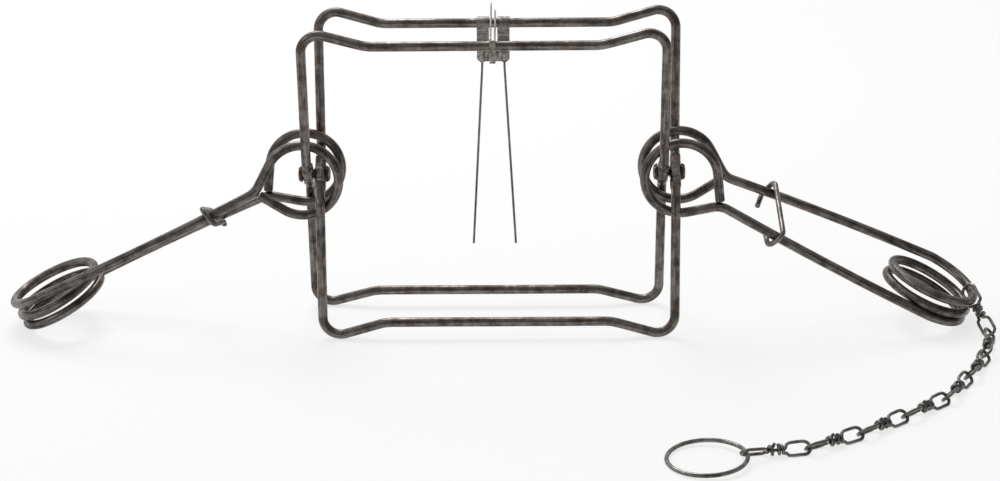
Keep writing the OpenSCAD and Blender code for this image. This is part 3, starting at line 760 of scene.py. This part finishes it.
ears = []
for k, (x, tail) in enumerate(((-DOG_W / 2 + DOG_T / 2, TALL_EAR), (DOG_W / 2 - DOG_T / 2, SHORT_EAR))):
    ears.append(sheet_piece("ear_%d" % k, [ear_outline(tail), arc((0, 0), DOG_HOLE_R, 360, 15, 23)],
                            DOG_T, front_bar + (x, 0, 0), (0, 1, 0), (0, 0, 1)))
fold_front, fold_back = -DOG_HUB_R - DOG_T, -DOG_HUB_R + STRAP_LAP
fold = ([(DOG_W / 2, fold_back)] + [(-DOG_W / 2, fold_back)]
        + arc((-DOG_W / 2 + 1.3, fold_front + 1.3), 1.3, 180, 270, 5)
        + arc((DOG_W / 2 - 1.3, fold_front + 1.3), 1.3, 270, 360, 5))
fold_l = STRAP_H + DOG_HUB_R * 0.9
web = sheet_piece("fold", [fold], fold_l, front_bar + (0, 0, -STRAP_H + fold_l / 2),
                  (1, 0, 0), (0, 1, 0))
dog = boolean(boolean(ears[0], web, "UNION"), ears[1], "UNION")
dog.name = "dog_folded"
rolled(dog, 1)
dress(dog, "dog", flashed_sheet)

# %% [markdown]
# ## The trigger
# The trigger's sheet is rolled round the back bar as two knuckles, one on each side of the slot
# for the dog, and hangs down as a flat plate with rounded lower corners and three stamped ribs.
# Two long wires sit in rolled seats on its face, and a rivet with domed heads sits between them.

# %% Trigger plate
PLATE_T, PLATE_W, PLATE_L, SLOT_W, SLOT_H = 1.2, 27.6, 32.0, 7.0, 18.5
KNUCKLE_IN, KNUCKLE_OUT, PLATE_CORNER = 4.3, 5.5, 3.0
TRIGGER_WIRE_R, WIRE_GAP, SEAT_L = 1.0, 18.8, 16.0
STUD_R, STUD_UP = 2.0, 6.0
back_bar = np.array([trigger_x, BAR_SPREAD, BAR_H])
plate_y = BAR_SPREAD - KNUCKLE_OUT
wire_y = plate_y - TRIGGER_WIRE_R - 0.05
seat_r = TRIGGER_WIRE_R + PLATE_T

half_w, half_slot, half_hole = PLATE_W / 2, SLOT_W / 2, STUD_R + 0.05
plate_outline = (arc((-half_w + PLATE_CORNER, -PLATE_L + PLATE_CORNER), PLATE_CORNER, 180, 270, 6)
                 + arc((half_w - PLATE_CORNER, -PLATE_L + PLATE_CORNER), PLATE_CORNER, 270, 360, 6)
                 + [(half_w, 0), (half_slot, 0)]
                 + arc((half_slot - 1.2, -SLOT_H + 1.2), 1.2, 0, -90, 4)
                 + arc((-half_slot + 1.2, -SLOT_H + 1.2), 1.2, -90, -180, 4)
                 + [(-half_slot, 0), (-half_w, 0)])
stud_at = (0, -PLATE_L + STUD_UP)
plate = sheet_piece("trigger_plate_rolled", [plate_outline, arc(stud_at, half_hole, 360, 15, 23)],
                    PLATE_T, (trigger_x, plate_y + PLATE_T / 2, BAR_H), (1, 0, 0), (0, 0, 1))
roll = arc((0, 0), KNUCKLE_OUT, 182, -146, 60) + arc((0, 0), KNUCKLE_IN, -146, 182, 60)
knuckle_w = half_w - half_slot
for s in (-1, 1):
    at = back_bar + (s * (half_slot + knuckle_w / 2), 0, 0)
    boolean(plate, sheet_piece("knuckle", [roll], knuckle_w, at, (0, 1, 0), (0, 0, 1), 0.2), "UNION")
for s in (-1, 1):
    at = (trigger_x + s * WIRE_GAP / 2, wire_y, BAR_H - PLATE_L)
    seat = ring_profile(SEAT_L / 2, SEAT_L, TRIGGER_WIRE_R + 0.05, seat_r, 0.3)
    boolean(plate, turned_piece("seat", [seat], at, (0, 0, 1), 24), "UNION")
for s in (-1, 1):
    for k in range(3):
        x = s * (half_slot + knuckle_w / 2)
        line = [(trigger_x + x - 4, plate_y + 0.1, BAR_H - 8 - 3 * k),
                (trigger_x + x + 4, plate_y + 0.1, BAR_H - 8 - 3 * k)]
        boolean(plate, sweep("rib", line, 0.55, sides=12, burr=0.3), "UNION")
rolled(plate, 0)
dress(plate, "trigger_plate", flashed_sheet)

# %% Trigger rivet and wires
stud = [(-PLATE_T - 1.5, 1.0), (-PLATE_T - 1.4, 2.4), (-PLATE_T - 1.0, 3.2), (-PLATE_T - 0.4, 3.5),
        (-PLATE_T - 0.1, 3.4), (-PLATE_T - 0.1, STUD_R), (0.1, STUD_R), (0.1, 4.4), (0.5, 4.5),
        (1.1, 3.9), (1.5, 2.6), (1.7, 1.0)]
dress(turned_piece("trigger_rivet_domed", [(stud, False)],
                   (trigger_x, plate_y, BAR_H - PLATE_L + STUD_UP), (0, -1, 0)),
      "trigger_rivet", flashed_sheet)

WIRE_L, WIRE_LEAN, FOOT_DROP, FOOT_BEND_R = 158.5, math.radians(3.2), 4.0, 12.0
for side, s in (("left", -1), ("right", 1)):
    top = np.array([trigger_x + s * WIRE_GAP / 2, wire_y, BAR_H - PLATE_L + SEAT_L])
    foot = top - (0, 0, SEAT_L + FOOT_DROP)
    tip = foot + WIRE_L * np.array([s * math.sin(WIRE_LEAN), 0, -math.cos(WIRE_LEAN)])
    wire = sweep(side + "_trigger_wire_drawn", spaced(bent([top, foot, tip], [0, FOOT_BEND_R, 0]), lambda place: 6),
                 TRIGGER_WIRE_R, sides=14, burr=0.2)
    dress(wire, side + "_trigger_wire", trigger_wire)

# %% [markdown]
# ## The chain
# Each link is one piece of wire with a loop at both ends, the loops square to each other, and
# the wire's two ends wrapped round the middle. A few points on real sizes give the wraps and the
# loops, and an eased line through them gives the soft bends of hand-closed wire. The cut ends
# stand off from the knot, as they do on such a chain.

# %% Link line
CHAIN_R, LINK_GAP, LINK_PITCH, LINK_B = 1.3, 0.5, 50.0, 5.2
WRAP_R = 2 * CHAIN_R + LINK_GAP
LINK_END = LINK_PITCH / 2 + WRAP_R / 2
WRAP_FROM, WRAP_TURNS, WRAP_STEPS = WRAP_R / 2, 1.25, 9
WRAP_L = WRAP_TURNS * WRAP_R
NECK_X, LOOP_FROM, LOOP_FLAT = WRAP_FROM + WRAP_L + 2.1, 10.0, 3.0
LOOP_TILT = math.radians(45)
TAIL_L = 3.6


def about_x(points, a):
    p = np.array(points, float)
    return np.stack([p[:, 0], p[:, 1] * math.cos(a) - p[:, 2] * math.sin(a),
                     p[:, 1] * math.sin(a) + p[:, 2] * math.cos(a)], 1)


def loop(b, end):
    return ([(LOOP_FROM, -b, 0), (end - b - LOOP_FLAT, -b, 0)]
            + [(end - b + u, v, 0) for u, v in arc((0, 0), b, -90, 90, 8)]
            + [(end - b - LOOP_FLAT, b, 0), (LOOP_FROM, b * 0.86, 0)])


def half_link(b, end):
    wraps = []
    for i in range(WRAP_STEPS + 1):
        a = math.pi - 2 * math.pi * WRAP_TURNS * (1 - i / WRAP_STEPS)
        wraps.append((WRAP_FROM + WRAP_L * i / WRAP_STEPS, WRAP_R * math.cos(a), WRAP_R * math.sin(a)))
    tail = [(WRAP_FROM - 0.2, TAIL_L, WRAP_R + 0.5)]
    return (tail + wraps + [(NECK_X, -WRAP_R * 1.02, 0)] + loop(b, end)
            + [(NECK_X, LINK_B * 0.25, 0), (WRAP_FROM + WRAP_L, 0, 0)])


def link_line(b, end, second_tilt):
    first = about_x(half_link(LINK_B, LINK_END), LOOP_TILT)
    second = np.array(half_link(b, end))[::-1] * (-1, -1, 1)
    return np.vstack([first, about_x(second, second_tilt)])


def laid(points, x, y, at):
    return np.array(at) + points @ np.array([x, y, np.cross(x, y)])


# %% [markdown]
# ## The chain's joints
# Eight joints lie on the floor, the last one at the ring. The first link's other loop is wider and
# takes the coil's wire, which crosses it at a slant between the coil's upper turns.

# %% Chain links
chain_joints = [joint_place("chain_joint_%d" % k) for k in range(1, 8)]
ring_joint = joint_place("end_ring_swing")
hold_point = joint_place("chain_hold_swing")
hold_tangent = unit(joints["chain_hold_swing"]["axis"])
RING_R, RING_WIRE_R, RING_SEAT = 30.0, 1.7, 2.25
HOLD_B, HOLD_END = WIRE_R + CHAIN_R + 0.9, LINK_END + 3
HOLD_CROSS, FIRST_ROLL = 14.0, math.radians(16)

first_way = unit(chain_joints[0] - hold_point)
first_heading = unit(chain_joints[1] - chain_joints[0])
through = (np.array([0, 0, math.cos(LOOP_TILT)])
           - np.cross(first_heading, (0, 0, 1)) * math.sin(LOOP_TILT))
e = unit(through - (through @ first_way) * first_way)
first_side = (math.cos(LOOP_TILT + FIRST_ROLL) * e
              - math.sin(LOOP_TILT + FIRST_ROLL) * np.cross(first_way, e))
clasp = unit(np.cross(hold_tangent, first_way))
clasp_tilt = math.atan2(clasp @ np.cross(first_way, first_side), clasp @ first_side)
first_line = laid(link_line(HOLD_B, HOLD_END, clasp_tilt), first_way, first_side,
                  hold_point + first_way * (HOLD_END - HOLD_CROSS))

floor_ends = chain_joints + [ring_joint]
lines = [first_line]
for a, b in zip(floor_ends[:-1], floor_ends[1:]):
    x = unit(b - a)
    lines.append(laid(link_line(LINK_B, LINK_END, -LOOP_TILT), x, np.cross((0, 0, 1), x),
                      (a + b) / 2))
for k, line in enumerate(lines, 1):
    link = sweep("chain_link_%d_knotted" % k, eased(line), CHAIN_R, sides=14, burr=0.25)
    dress(link, "chain_link_%d" % k, chain_wire)

# %% [markdown]
# ## The end ring
# The ring is a round of heavier wire, butt welded. It hangs in the last link's loop at one side
# and lies on the floor at the other, so it is tipped a little.

# %% End ring
ring_drop = ring_joint[2] - (floor_z + RING_WIRE_R)
ring_tip = math.asin(ring_drop / (2 * RING_R))
ring_heading = unit((ring_joint - chain_joints[-1]) * (1, 1, 0))
ring_out = math.cos(ring_tip) * ring_heading - np.array([0, 0, math.sin(ring_tip)])
ring_side = np.cross((0, 0, 1), ring_heading)
ring_middle = ring_joint - RING_SEAT * ring_heading + RING_R * ring_out
turns = np.linspace(0, 2 * math.pi, 121)[:-1]
ring_line = [ring_middle + RING_R * (math.cos(a) * ring_out + math.sin(a) * ring_side) for a in turns]
dress(sweep("end_ring_welded", ring_line, RING_WIRE_R, sides=20, closed=True),
      "end_ring", chain_wire)

# %% [markdown]
# ## Floor and light
# The trap stands on a plain pale floor. A soft light hangs above and behind it, which draws the
# thin light line along the top of each rod. The backdrop behind and the left side of the studio
# are pale and the side where the camera stands is dim, so that each rod is darker in its middle
# than at its top, and its lower half picks up the pale floor. Metal shows what is round it, so
# these surroundings give the rods their shape more than the lamps do.

# %% Floor
floor_mesh = bpy.data.meshes.new("floor")
floor_mesh.from_pydata([(-9, -9, 0), (9, -9, 0), (9, 9, 0), (-9, 9, 0)], [], [(0, 1, 2, 3)])
floor = bpy.data.objects.new("floor", floor_mesh)
bpy.context.scene.collection.objects.link(floor)
paper = bpy.data.materials.new("matt_white_paper")
paper.use_nodes = True
tree = paper.node_tree
tree.nodes.clear()
surface = add(tree, "ShaderNodeBsdfPrincipled", {"Base Color": linear("#f6f6f5"), "Roughness": 0.95,
                                                 "Specular IOR Level": 0.1})
white = add(tree, "ShaderNodeEmission", {"Color": (1, 1, 1, 1), "Strength": 1.0})
rays = add(tree, "ShaderNodeLightPath", {}).outputs
seen = add(tree, "ShaderNodeMath", {0: rays["Is Camera Ray"], 1: rays["Is Glossy Ray"]}, operation="ADD")
seen = add(tree, "ShaderNodeMath", {0: seen.outputs["Value"], 1: rays["Is Transmission Ray"]},
           operation="ADD")
whiter = add(tree, "ShaderNodeMath", {0: seen.outputs["Value"], 1: 0.72}, operation="MULTIPLY")
mixed = add(tree, "ShaderNodeMixShader", {0: whiter.outputs["Value"], 1: surface.outputs["BSDF"],
                                          2: white.outputs["Emission"]})
add(tree, "ShaderNodeOutputMaterial", {"Surface": mixed.outputs["Shader"]})
floor_mesh.materials.append(paper)

# %% Lights and surroundings
world = bpy.data.worlds.new("studio")
bpy.context.scene.world = world
world.use_nodes = True
tree = world.node_tree
tree.nodes.clear()
direction = add(tree, "ShaderNodeTexCoord", {})
way = add(tree, "ShaderNodeSeparateXYZ", {"Vector": direction.outputs["Generated"]}).outputs


def part(axis, start, end, low, high):
    """A share of the surroundings' light that goes from low to high along an axis."""
    return add(tree, "ShaderNodeMapRange", {"Value": way[axis], "From Min": start, "From Max": end,
                                            "To Min": low, "To Max": high}).outputs["Result"]


def both(operation, a, b):
    return add(tree, "ShaderNodeMath", {0: a, 1: b}, operation=operation).outputs["Value"]


backdrop = both("MULTIPLY", part("Y", 0.0, 0.7, 0.0, 0.85), part("X", -0.9, 0.9, 1.1, 0.5))
sides = both("ADD", part("Z", 0.2, 1.0, 0.16, 0.5), part("X", -0.9, -0.2, 0.3, 0.0))
sky = add(tree, "ShaderNodeBackground", {"Color": (1, 1, 1, 1), "Strength": both("ADD", backdrop, sides)})
add(tree, "ShaderNodeOutputWorld", {"Surface": sky.outputs["Background"]})


def soft_light(name, at, size, power):
    light = bpy.data.lights.new(name, "AREA")
    light.shape, light.size, light.energy = "DISK", size, power
    lamp = bpy.data.objects.new(name, light)
    bpy.context.scene.collection.objects.link(lamp)
    lamp.location = at
    lamp.rotation_euler = (Vector((0, 0, 0.1)) - Vector(at)).to_track_quat("-Z", "Y").to_euler()


soft_light("overhead", (-0.4, 1.3, 1.9), 1.1, 22)
soft_light("left", (-2.0, -0.6, 1.3), 0.8, 5)

view_settings = bpy.context.scene.view_settings
view_settings.view_transform = "Standard"
